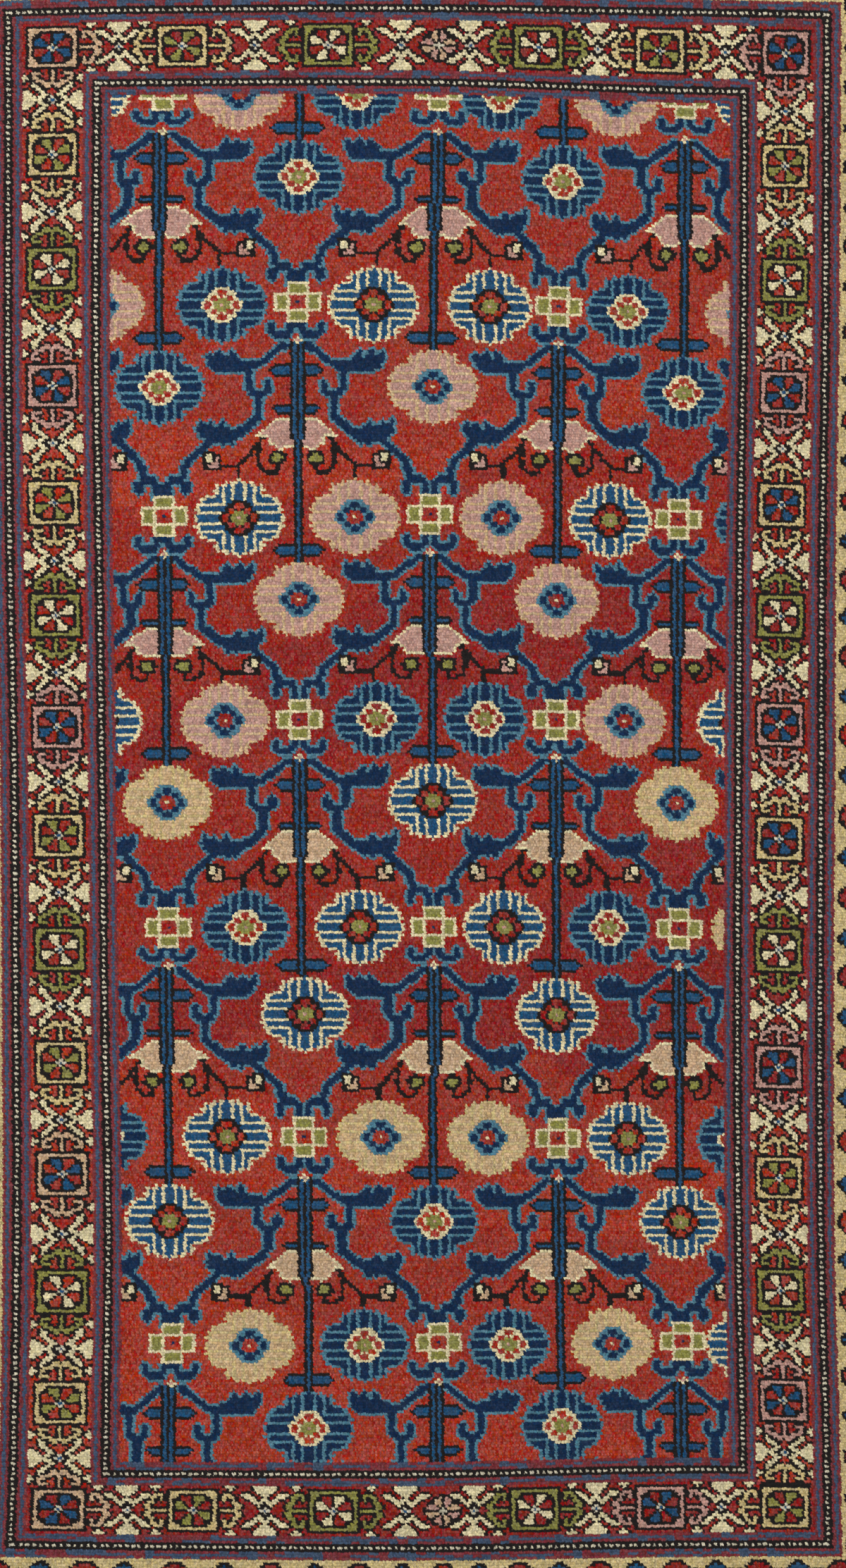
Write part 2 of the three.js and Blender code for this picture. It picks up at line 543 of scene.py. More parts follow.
def draw_tulips(sheet):
    """The tulips on both sides of each stem, with their tendrils and buds"""
    tendrils, hearts = sheet.blank(), sheet.blank()
    buds = []
    for crosses, below in zip(CROSS_ROWS, CROSS_ROWS[1:]):
        tulips = sheet.blank()
        joint = crosses["joint"]
        pink = "rose" if joint > LOWEST_ROSE_TULIP else "blush"
        for c, side, wider, taller in branch_sides(crosses, below):
            sheet.add_shape(tulips, placed(TULIP, c, joint, side, 1, taller))
            wider = wider or 1
            for line in TENDRILS:
                points = placed(line, c, joint, side, wider, taller)
                sheet.add_line(tendrils, points, TENDRIL_WIDTH)
            inner, outer = placed((INNER_BUD, OUTER_BUD), c, joint, side, wider, taller)
            sheet.add_oval(tendrils, *inner, 6.2, 5.8)
            sheet.add_oval(hearts, *inner, 3.6, 3.2)
            buds.append((outer, side, pink))
        sheet.paint(tulips, "ivory")
        sheet.paint(tulips & ~grown(~tulips), pink)
    sheet.paint(tendrils, "black")
    sheet.paint(hearts, "green")
    for (c, r), side, pink in buds:
        wools = {"k": "black", "i": "ivory", "p": pink}
        for y, row in enumerate(BUD):
            for x, letter in enumerate(row):
                if letter != ".":
                    sheet.put(nearest(c + side * (x - 2.5)), nearest(r) + 3 - y, wools[letter])


def stem_tops():
    """The top of each hanging flower's stem, with the flower"""
    joints = {315: (-39.5, 44.5), **{row["joint"]: row["columns"] for row in CROSS_ROWS}}
    for flowers in HANGING_FLOWERS:
        for end in flowers["flowers"]:
            top = min(joints[flowers["joint"]], key=lambda c: abs(c - end))
            yield top, flowers["joint"], end, flowers["row"]


def draw_stems(sheet):
    """The stems from the joints down to the hanging flowers, over their crossbars"""
    bars = sheet.blank()
    for top, joint, end, row in stem_tops():
        for bar in CROSSBARS:
            r = (joint if bar["from"] == "joint" else row) + bar["off"]
            c = top if bar["from"] == "joint" else end
            for side in (-1, 1):
                reach = side * bar["reach"]
                sheet.add_bar(bars, c + reach / 2, r, bar["reach"] - 1, bar["rows"])
                sheet.add_bar(bars, c + reach, r, 1.2, max(bar["rows"] - 2, 1))
    sheet.paint(grown(bars), "black")
    sheet.paint(bars, "blue")
    for top, joint, end, row in stem_tops():
        low = row + FLOWER_REACH
        for r in range(int(low), int(joint)):
            middle = nearest(top + (end - top) * (joint - r) / (joint - low))
            lanes = "kbkbk" if joint - r < DOUBLE_STEM else "kbk"
            for lane, letter in enumerate(lanes):
                wool = "black" if letter == "k" else "blue"
                sheet.put(middle + lane - len(lanes) // 2, r, wool)


def draw_field(sheet):
    """The whole field"""
    sheet.area = sheet.ring <= 0
    draw_branches(sheet)
    for row in FLANKING_FLOWERS + HANGING_FLOWERS:
        for c, kind in row["flowers"].items():
            chart = FLOWER if c < NARROW_FROM else NARROW_FLOWER
            sheet.stamp(chart, FLOWER_WOOLS[kind], c, row["row"])
    draw_tulips(sheet)
    draw_stems(sheet)
    for crosses in CROSS_ROWS:
        for c in crosses["columns"]:
            sheet.stamp(CROSS, CROSS_WOOLS, c, crosses["row"])
            sheet.stamp(STAR, CROSS_WOOLS, c, crosses["joint"] - 0.5)


# The minor border: squares with a flower in each, and crossed leaves between them.

SQUARES = {
    "blush": {"ground": "blush", "petals": ("blue", "madder")},
    "rose": {"ground": "rose", "petals": ("blue", "madder")},
    "leafy": {"ground": "tan", "petals": ("green", "madder")},
    "straw": {"ground": "tan", "petals": ("blue", "madder")},
    "green": {"ground": "green", "petals": ("ivory", "madder")},
}
SQUARE_REACH = 8
TAIL_REACH = 16
SMALL_FLOWER_REACH = 5.5
SIDE_AXIS = 117
END_AXIS = 270
# The squares along each side and each end, by their places in knots from the middle. The small
# flower in the middle of an end has no square.
SIDE_SQUARES = {
    -1: {270: "blush", 229.5: "leafy", 187.5: "green", 145: "rose", 102: "leafy", 60.5: "green",
         20: "rose", -20: "leafy", -62: "green", -104: "leafy", -145.5: "blush", -188: "green",
         -229.5: "leafy", -270: "blush"},
    1: {270: "rose", 228.5: "leafy", 187: "green", 145: "rose", 102.5: "straw", 62: "green",
        21.5: "rose", -20.5: "straw", -61.5: "green", -104: "rose", -145: "leafy", -187.5: "green",
        -229: "rose", -269.5: "leafy"},
}
END_SQUARES = {
    1: {-76: "leafy", -30: "green", 4.5: "small", 36.5: "green", 76: "leafy"},
    -1: {-75: "leafy", -30: "green", 5: "small", 35: "green", 75.5: "rose"},
}
# Half of the tail between a square and its neighbour, from the axis outwards and from the
# side of the square away from it: k outline, G the square's own ground, i ivory.
TAIL = (
    "Gk........",
    "Gk..kkk...",
    "Gk.kGGGk.k",
    "Gk..kkGkki",
    "Gk.kkGGkii",
    "GkkGGGk.ki",
    "GGGGkk...k",
    "kGGk......",
    ".kk.......",
)
# A quarter of the crossed leaves, from their middle outwards.
CROSSED_LEAVES = (
    "nwkkiiiiii",
    "wkkiikiiii",
    "rkiik.kiii",
    "rrkiik.kii",
    "rrrkiik.kk",
    "rrrrkiik..",
    "rr..kiik..",
    "r....kik..",
    "......k...",
)
# A quarter of the flower in a square, turned four ways round: A and B its petals.
SQUARE_FLOWER = (
    "kkkkk..",
    "kBBBkk.",
    "kBBBkkk",
    "kBBkAAk",
    "kBkAAAk",
    "wkAAAAk",
    "nwkkkkk",
)
BORDER_WOOLS = {"k": "black", "i": "ivory", "w": "white", "n": "blue", "r": "madder"}


class BorderRun:
    """One side or end of a border, with places counted along its axis and off it"""

    def __init__(self, sheet, axis, lengthways):
        self.sheet = sheet
        self.axis = axis
        self.lengthways = lengthways

    def put(self, along, off, wool):
        """Knot one knot"""
        if self.lengthways:
            self.sheet.put(self.axis + off, along, wool)
        else:
            self.sheet.put(along, self.axis + off, wool)

    def half_chart(self, chart, middle, first, end, wools):
        """Knot a half chart on both sides of the axis, away from a place towards one end"""
        for step, row in enumerate(chart):
            for off, letter in enumerate(row):
                if letter != ".":
                    for side in (-1, 1):
                        self.put(middle + end * (first + step), side * off, wools[letter])

    def crossed_leaves(self, middle):
        """Knot the crossed leaves round a place"""
        for end in (-1, 1):
            self.half_chart(CROSSED_LEAVES, middle, 0, end, BORDER_WOOLS)

    def square(self, middle, kind):
        """Knot a square with an eight-petalled flower in it"""
        square = SQUARES[kind]
        for y in range(-SQUARE_REACH, SQUARE_REACH + 1):
            for x in range(-SQUARE_REACH, SQUARE_REACH + 1):
                edge = max(abs(x), abs(y)) == SQUARE_REACH
                self.put(middle + y, x, "black" if edge else square["ground"])
        wools = {**BORDER_WOOLS, "A": square["petals"][0], "B": square["petals"][1]}
        reach = len(SQUARE_FLOWER) - 1
        for step, row in enumerate(SQUARE_FLOWER):
            for x, letter in enumerate(row):
                if letter != ".":
                    y = reach - step
                    for turned_x, turned_y in ((x, y), (-y, x), (-x, -y), (y, -x)):
                        self.put(middle + turned_y, turned_x, wools[letter])

    def small_flower(self, middle):
        """Knot the small flower that stands without a square"""
        for y in range(-6, 7):
            for x in range(-6, 7):
                radius = np.hypot(x, y)
                eighth = np.arctan2(y, x) / (np.pi / 4)
                if radius > 6.1:
                    continue
                if radius < 1.1:
                    wool = "white"
                elif radius > 5.3 or radius < 2 or abs(eighth - np.floor(eighth) - 0.5) > 0.3:
                    wool = "black"
                else:
                    wool = ("rose", "blush")[int(np.floor(eighth)) % 2]
                self.put(middle + y, x, wool)


def draw_minor_border(sheet):
    """The squares, their tails and the crossed leaves, along both sides and both ends"""
    inner = len(GUARD)
    sheet.area = (sheet.ring > inner) & (sheet.ring <= inner + ZONES[1]["knots"])
    runs = []
    for side, squares in SIDE_SQUARES.items():
        runs.append((BorderRun(sheet, side * SIDE_AXIS, True), squares))
    for end, squares in END_SQUARES.items():
        corners = {}
        for side in (-1, 1):
            corner = max(SIDE_SQUARES[side], key=lambda r: end * r)
            corners[side * SIDE_AXIS] = SIDE_SQUARES[side][corner]
        runs.append((BorderRun(sheet, end * END_AXIS, False), {**corners, **squares}))
    for run, squares in runs:
        places = sorted(squares)
        for low, high in zip(places, places[1:]):
            ends = []
            for place, end in ((low, 1), (high, -1)):
                small = squares[place] == "small"
                ends.append(place + end * (SMALL_FLOWER_REACH if small else TAIL_REACH))
            run.crossed_leaves(nearest(sum(ends) / 2))
        for low, high in zip(places, places[1:]):
            for place, end in ((low, 1), (high, -1)):
                if squares[place] != "small":
                    wools = {**BORDER_WOOLS, "G": SQUARES[squares[place]]["ground"]}
                    run.half_chart(TAIL, nearest(place), SQUARE_REACH, end, wools)
    for run, squares in runs:
        for place, kind in squares.items():
            if kind == "small":
                run.small_flower(nearest(place))
            else:
                run.square(nearest(place), kind)


# The main border: large eight-petalled flowers, with a leaf on each side of the gaps.

MAIN_SIDE_AXIS = 149
MAIN_END_AXIS = 302
MAIN_SIDE_FLOWERS = (272, 243, 214, 185, 150, 120, 90, 62, 33, 4, -26, -56, -85, -115, -147,
                     -175, -205, -234, -266)
MAIN_END_FLOWERS = (-122, -97, -65, -36, -8, 17, 43, 68, 94, 121)
MAIN_FLOWER_REACH = 12.3
# How fast a petal draws in towards its tip, and how wide a slice of the flower it fills.
PETAL_TAPER = 0.16
PETAL_SPREAD = 0.37
# The two leaves in a gap: how far off the axis they stand, half their width and length, and
# the share of the way out at which their outline begins.
GAP_LEAF_OFF = 8
GAP_LEAF_WIDTH = 4.4
GAP_LEAF_LENGTH = 5
GAP_LEAF_OUTLINE = 0.76


def draw_main_flower(run, middle):
    """Knot a large flower with four blue petals and four red ones between them"""
    reach = int(MAIN_FLOWER_REACH)
    for y in range(-reach, reach + 1):
        for x in range(-reach, reach + 1):
            radius = np.hypot(x, y)
            eighth = np.arctan2(y, x) / (np.pi / 4)
            petal = nearest(eighth)
            off = radius * abs(np.sin((eighth - petal) * np.pi / 4))
            length = MAIN_FLOWER_REACH - PETAL_TAPER * off * off
            if radius > length:
                continue
            if radius < 3:
                wool = "ivory" if radius > 1 else "madder"
            elif radius < 4 or radius > length - 1.1 or off > PETAL_SPREAD * radius - 0.5:
                wool = "black"
            else:
                wool = ("blue", "madder")[petal % 2]
            run.put(middle + y, x, wool)


def draw_gap_leaf(run, middle, side, leaf):
    """Knot a leaf, with an outline round it, in the gap between two large flowers"""
    for y in range(-GAP_LEAF_LENGTH, GAP_LEAF_LENGTH + 1):
        for x in range(-int(GAP_LEAF_WIDTH), int(GAP_LEAF_WIDTH) + 1):
            far = np.hypot(x / GAP_LEAF_WIDTH, y / GAP_LEAF_LENGTH)
            if far <= 1:
                wool = "black" if far > GAP_LEAF_OUTLINE else leaf
                run.put(middle + y, side * GAP_LEAF_OFF + x, wool)


def draw_main_border(sheet):
    """The large flowers and leaves, along both sides and both ends"""
    inner = 2 * len(GUARD) + ZONES[1]["knots"]
    sheet.area = (sheet.ring > inner) & (sheet.ring <= inner + ZONES[3]["knots"])
    along = (-MAIN_END_AXIS, *MAIN_SIDE_FLOWERS, MAIN_END_AXIS)
    across = (-MAIN_SIDE_AXIS, *MAIN_END_FLOWERS, MAIN_SIDE_AXIS)
    runs = []
    for side in (-1, 1):
        runs.append((BorderRun(sheet, side * MAIN_SIDE_AXIS, True), along))
        runs.append((BorderRun(sheet, side * MAIN_END_AXIS, False), across))
    for run, places in runs:
        places = sorted(places)
        for count, (low, high) in enumerate(zip(places, places[1:])):
            for side in (-1, 1):
                # Every third leaf on the outer side is green.
                leaf = "madder" if side * run.axis < 0 or count % 3 else "green"
                draw_gap_leaf(run, nearest((low + high) / 2), side, leaf)
    for run, places in runs:
        for place in places:
            draw_main_flower(run, place)


def draw_zones(sheet):
    """The grounds of the borders, the guards and their dots, and the plain edge"""
    sheet.area = sheet.ring > 0
    on_side = abs(sheet.c) - FIELD_HALF_WIDTH >= abs(sheet.r) - FIELD_HALF_LENGTH
    counted = np.where(on_side, sheet.r, sheet.c)
    mixed = np.repeat(np.random.default_rng(5).random(sheet.c.shape), MIXED_RUN, axis=1)
    mixed = mixed[:, :KNOTS_ACROSS] < MIXED_SHARE
    first = 1
    for zone in ZONES:
        here = (sheet.ring >= first) & (sheet.ring < first + zone["knots"])
        sheet.paint(here, "tan" if zone["zone"] == "main" else "madder")
        if zone["zone"] == "guard":
            for step, stripe in enumerate(GUARD):
                line = sheet.ring == first + step
                sheet.paint(line, "black" if stripe == "dots" else stripe)
                if stripe == "dots":
                    sheet.paint(line & (counted % 2 == 0), "white")
                elif stripe != "black":
                    other = {"crimson": "slate_blue", "slate_blue": "crimson"}[stripe]
                    sheet.paint(line & ~on_side & mixed, other)
        first += zone["knots"]


# The change to a new lot steps up and down by a few rows, about every 15 columns, where the
# weaver worked one area ahead of the next.
LOT_STEP = 2.5
LOT_TURN = 0.21
# Where the weaver began a new dye lot of the red: its first row at the left edge, in the
# middle and at the right edge, from the near end up.
DYE_LOTS = (
    {"lot": "madder_orange", "left": -330, "middle": -330, "right": -330},
    {"lot": "madder_warm", "left": -168, "middle": -222, "right": -246},
    {"lot": "madder_orange", "left": -140, "middle": -166, "right": -166},
    {"lot": "madder_warm", "left": -94, "middle": -150, "right": -140},
    {"lot": "madder_deep", "left": -94, "middle": -94, "right": -118},
    {"lot": "madder", "left": -82, "middle": -60, "right": -16},
    {"lot": "madder_deep", "left": 2, "middle": 12, "right": 40},
    {"lot": "madder", "left": 16, "middle": 74, "right": 82},
    {"lot": "madder_orange", "left": 98, "middle": 104, "right": 150},
    {"lot": "madder_warm", "left": 134, "middle": 122, "right": 166},
)


def dye_in_lots(sheet):
    """Give the red knots their dye lots"""
    red = sheet.wool == WOOL["madder"]
    stations = (-FIELD_HALF_WIDTH, 0, FIELD_HALF_WIDTH)
    for lot in DYE_LOTS:
        start = np.interp(sheet.c, stations, (lot["left"], lot["middle"], lot["right"]))
        start = start + LOT_STEP * np.sign(np.sin(sheet.c * LOT_TURN + lot["middle"]))
        sheet.wool[red & (sheet.r >= start)] = WOOL[lot["lot"]]
    sheet.wool[red & (abs(sheet.r) > FIELD_HALF_LENGTH + len(GUARD))] = WOOL["madder_deep"]


def draw_rug():
    """The whole drawing"""
    sheet = KnotSheet()
    draw_zones(sheet)
    draw_main_border(sheet)
    draw_minor_border(sheet)
    draw_field(sheet)
    dye_in_lots(sheet)
    return sheet


# Meshes

# How far a corner of a knot slips from its place, in knots.
KNOT_SLIP = 0.07
# The back lies just clear of the floor.
BACK_HEIGHT = 0.3 * MM
# Faces round a side cord, and steps from the pile to the edge of an end band.
CORD_SIDES = 6
BAND_STEPS = 4
# The girth of a side cord between two turns of wool, how much turns differ, and how far a turn
# slants, in turns.
VALLEY_GIRTH = 0.84
TURN_UNEVENNESS = 0.02
TURN_SLANT = 0.4
# How much the edge of an end band wavers, and its height there as a share of the foundation's.
BAND_WAVER = 0.25 * MM
BAND_EDGE = 0.75


def new_object(name, bm):
    """An object at the origin from a bmesh, without an earlier one of its name"""
    old = bpy.data.objects.get(name)
    if old:
        bpy.data.objects.remove(old)
    mesh = bpy.data.meshes.new(name)
    bm.to_mesh(mesh)
    bm.free()
    obj = bpy.data.objects.new(name, mesh)
    bpy.context.scene.collection.objects.link(obj)
    return obj


def read_points(mesh):
    """The mesh's points as an array"""
    points = np.empty(len(mesh.vertices) * 3)
    mesh.vertices.foreach_get("co", points)
    return points.reshape(-1, 3)


def write_points(mesh, x, y, z):
    """Move the mesh's points"""
    mesh.vertices.foreach_set("co", np.stack((x, y, z), axis=1).ravel())
    mesh.update()


def write_uv(mesh, name, u, v):
    """Give the mesh a UV map from one place for each of its points"""
    corners = np.empty(len(mesh.loops), int)
    mesh.loops.foreach_get("vertex_index", corners)
    layer = mesh.uv_layers.new(name=name)
    layer.uv.foreach_set("vector", np.stack((u[corners], v[corners]), axis=1).ravel())


def write_wools(mesh, sheet, columns, rows):
    """Tell each face its own wool and those of the four knots round it"""
    edged = np.pad(sheet.wool, 1, mode="edge").astype(float)
    i, j = rows + MID_R + 1, columns + MID_C + 1
    beside = np.stack((edged[i, j], edged[i, j - 1], edged[i, j + 1]), axis=1)
    above = np.stack((edged[i + 1, j], edged[i - 1, j], np.zeros(len(i))), axis=1)
    for name, values in (("wool_beside", beside), ("wool_above", above)):
        attribute = mesh.attributes.new(name, "FLOAT_VECTOR", "FACE")
        attribute.data.foreach_set("vector", values.ravel())


def knot_grid(name, sheet, edges_c, edges_r):
    """A grid with one face for each knot, and the places of its points, in knots"""
    across, along = edges_c[1] - edges_c[0], edges_r[1] - edges_r[0]
    bm = bmesh.new()
    bmesh.ops.create_grid(bm, x_segments=int(across), y_segments=int(along), size=0.5)
    obj = new_object(name, bm)
    mesh = obj.data
    points = read_points(mesh)
    c = edges_c[0] + np.round((points[:, 0] + 0.5) * across)
    r = edges_r[0] + np.round((points[:, 1] + 0.5) * along)
    write_uv(mesh, "knots", c + HALF_C, r + HALF_R)
    centres = np.empty(len(mesh.polygons) * 3)
    mesh.polygons.foreach_get("center", centres)
    centres = centres.reshape(-1, 3)
    columns = np.floor(edges_c[0] + (centres[:, 0] + 0.5) * across + 0.5).astype(int)
    rows = np.floor(edges_r[0] + (centres[:, 1] + 0.5) * along + 0.5).astype(int)
    write_wools(mesh, sheet, columns, rows)
    return obj, c, r


def panels(sizes):
    """The panels that the rug is made in, with each one's edges in knots and its flat size"""
    cuts = np.linspace(-MID_R, MID_R + 1, len(PANELS_ALONG) + 1)
    edges_r = [nearest(cut) - 0.5 for cut in cuts]
    for across, left, right in zip(PANELS_ACROSS, EDGES_C, EDGES_C[1:]):
        for along, near, far in zip(PANELS_ALONG, edges_r, edges_r[1:]):
            flat = (right - left) * sizes.knot_width, (far - near) * sizes.row_height
            yield f"{along}_{across}", (left, right), (near, far), flat


def finish_piece(obj, material):
    """Give a piece its material, and tell the frame what it is"""
    obj.data.materials.append(material)
    obj.data.polygons.foreach_set("use_smooth", np.ones(len(obj.data.polygons), bool))
    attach(obj, "root")
    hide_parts("rug")


def make_pile(loom, wools):
    """The knotted pile, its knots a little uneven, sloping down at its edges"""
    sizes = loom.sizes
    sheet = draw_rug()
    material = wool_pile(wools)
    random = np.random.default_rng(7)
    shape = (ROWS_ALONG + 1, KNOTS_ACROSS + 1)
    slip_c, slip_r = random.normal(0, KNOT_SLIP, (2, *shape))
    dip = abs(random.normal(0, sizes.unevenness, shape))
    profile = {0: sizes.foundation, 0.4 * sizes.shoulder: 0.8 * sizes.thickness,
               sizes.shoulder: sizes.thickness}
    for name, edges_c, edges_r, flat in panels(sizes):
        obj, c, r = knot_grid(f"pile_{name}", sheet, edges_c, edges_r)
        from_side = (HALF_C - abs(c)) * sizes.knot_width
        edge = np.minimum(from_side, (HALF_R - abs(r)) * sizes.row_height)
        corner = (r + HALF_R).astype(int), (c + HALF_C).astype(int)
        free = edge > 0
        x, y = loom.place(c + slip_c[corner] * free, r + slip_r[corner] * free)
        z = np.interp(edge, list(profile), list(profile.values())) - dip[corner] * free
        write_points(obj.data, x, y, z)
        finish_piece(obj, material)


def make_back(loom, wools):
    """The back, where every knot shows as two loops, its faces towards the floor"""
    sheet = draw_rug()
    material = wool_back(wools)
    for name, edges_c, edges_r, flat in panels(loom.sizes):
        obj, c, r = knot_grid(f"back_{name}", sheet, edges_c, edges_r)
        x, y = loom.place(c, r)
        write_points(obj.data, x, y, np.full(len(x), BACK_HEIGHT))
        obj.data.flip_normals()
        finish_piece(obj, material)


def make_side_cords(loom, wools):
    """The round cord along each side, overcast with wool, one ridge for each turn, in sections"""
    sizes = loom.sizes
    material = overcast_wool(wools)
    length = 2 * loom.half_length
    turns = int(length / sizes.wrap_pitch)
    cuts = np.linspace(0, turns, len(PANELS_ALONG) + 1).astype(int)
    for side, side_name in ((-1, "left"), (1, "right")):
        random = np.random.default_rng(11 + side)
        swell = np.where(np.arange(2 * turns + 1) % 2, 1.0, VALLEY_GIRTH)
        swell += random.normal(0, TURN_UNEVENNESS, swell.shape)
        for name, first, last in zip(PANELS_ALONG, cuts, cuts[1:]):
            rings = 2 * (last - first) + 1
            bm = bmesh.new()
            bmesh.ops.create_grid(bm, x_segments=CORD_SIDES, y_segments=rings + 1, size=0.5)
            obj = new_object(f"side_cord_{name}_{side_name}", bm)
            points = read_points(obj.data)
            # The first and last steps draw in to a point and close the section.
            step = np.round((points[:, 1] + 0.5) * (rings + 1)).astype(int)
            ring = 2 * first + np.clip(step - 1, 0, rings - 1)
            girth = np.where((step == 0) | (step > rings), 0.001, swell[ring])
            around = (points[:, 0] + 0.5) * 2 * np.pi
            write_uv(obj.data, "turns", points[:, 0] + 0.5, ring / 2)
            # Each turn slants, so that its outer side lies a little further along.
            slant = TURN_SLANT * sizes.wrap_pitch * np.cos(around)
            r = (ring / (2 * turns) - 0.5) * length / sizes.row_height
            edge, y = loom.place(np.full(len(r), side * HALF_C), r, 0.0, slant)
            x = edge + (side + np.cos(around) * girth) * sizes.cord_width / 2
            z = sizes.cord_thickness / 2 * (1 + np.sin(around) * girth)
            write_points(obj.data, x, y, z)
            close_seam(obj.data)
            finish_piece(obj, material)


def close_seam(mesh):
    """Join the two edges of a grid that was bent to a tube"""
    bm = bmesh.new()
    bm.from_mesh(mesh)
    bmesh.ops.remove_doubles(bm, verts=bm.verts, dist=0.01 * MM)
    bmesh.ops.recalc_face_normals(bm, faces=bm.faces)
    bm.to_mesh(mesh)
    bm.free()


def make_end_bands(loom, wools):
    """The flat-woven band at each end, a thin slab with a slightly uneven edge, in two parts"""
    sizes = loom.sizes
    material = plain_weave(wools)
    for end, end_name in ((-1, "lower"), (1, "upper")):
        random = np.random.default_rng(23 + end)
        waver = random.normal(0, BAND_WAVER, KNOTS_ACROSS + 1)
        for name, left, right in zip(PANELS_ACROSS, EDGES_C, EDGES_C[1:]):
            bm = bmesh.new()
            knots = int(right - left)
            bmesh.ops.create_grid(bm, x_segments=knots, y_segments=BAND_STEPS, size=0.5)
            obj = new_object(f"end_band_{end_name}_{name}", bm)
            points = read_points(obj.data)
            c = left + np.round((points[:, 0] + 0.5) * (right - left))
            out = points[:, 1] + 0.5
            write_uv(obj.data, "picks", c + HALF_C, out)
            # The mean edge lies half a millimetre inside the CAD's, so that no knot passes it.
            reach = sizes.band_length - 0.5 * MM + waver[(c + HALF_C).astype(int)]
            x, y = loom.place(c, np.full(len(c), end * HALF_R), 0.0, end * out * reach)
            z = sizes.foundation * np.interp(out, (0, 0.8, 1), (1, 1, BAND_EDGE))
            write_points(obj.data, x, y, z)
            if end < 0:
                obj.data.flip_normals()
            thicken(obj.data, 0.7 * sizes.foundation)
            finish_piece(obj, material)


def thicken(mesh, thickness):
    """Make a closed slab of a sheet, below it"""
    bm = bmesh.new()
    bm.from_mesh(mesh)
    bmesh.ops.solidify(bm, geom=bm.faces[:], thickness=thickness)
    bmesh.ops.recalc_face_normals(bm, faces=bm.faces)
    bm.to_mesh(mesh)
    bm.free()


# Materials


def new_material(name):
    """An empty node material"""
    old = bpy.data.materials.get(name)
    if old:
        bpy.data.materials.remove(old)
    material = bpy.data.materials.new(name)
    material.use_nodes = True
    material.node_tree.nodes.clear()
    return material


def add_node(material, kind, inputs=None, output=0, **settings):
    """Add a shader node with its settings, fill or link its inputs, and return an output"""
    tree = material.node_tree
    node = tree.nodes.new(f"ShaderNode{kind}")
    for setting, value in settings.items():
        setattr(node, setting, value)
    for key, value in (inputs or {}).items():
        if isinstance(value, bpy.types.NodeSocket):
            tree.links.new(value, node.inputs[key])
        else:
            node.inputs[key].default_value = value
    return None if output is None else node.outputs[output]


def wool_by_number(add, number, wools):
    """The colour of a wool from its number"""
    share = add("Math", {0: number, 1: 0.5}, operation="ADD")
    share = add("Math", {0: share, 1: len(WOOLS)}, operation="DIVIDE")
    colour = add("ValToRGB", {"Fac": share})
    ramp = colour.node.color_ramp
    ramp.interpolation = "CONSTANT"
    for i, name in enumerate(WOOLS):
        stop = ramp.elements[i] if i < 2 else ramp.elements.new(i / len(WOOLS))
        stop.position = i / len(WOOLS)
        stop.color = (*getattr(wools, name), 1)
    return colour


def knot_wool(add, place_u, place_v, wools):
    """The wool of the knot that a place belongs to, where the face's own knot spans 0 to 1"""
    beside = add("Attribute", output="Vector", attribute_name="wool_beside")
    above = add("Attribute", output="Vector", attribute_name="wool_above")
    beside = add("SeparateXYZ", {0: beside})
    above = add("SeparateXYZ", {0: above})
    number = beside
    for place, limit, operation, neighbour in (
        (place_u, 0.0, "LESS_THAN", beside.node.outputs[1]),
        (place_u, 1.0, "GREATER_THAN", beside.node.outputs[2]),
        (place_v, 0.0, "LESS_THAN", above.node.outputs[1]),
        (place_v, 1.0, "GREATER_THAN", above.node.outputs[0]),
    ):
        past = add("Math", {0: place, 1: limit}, operation=operation)
        number = add("Mix", {"Factor": past, "A": number, "B": neighbour})
    return wool_by_number(add, number, wools)


def wool_surface(add, colour, relief, finish):
    """End a wool's material with its relief and its surface, whose settings finish gives"""
    depth = {key: finish.pop(key) for key in ("Strength", "Distance")}
    bump = add("Bump", {"Height": relief, **depth})
    shader = add("BsdfPrincipled", {"Base Color": colour, "Normal": bump, **finish})
    add("OutputMaterial", {"Surface": shader}, output=None)


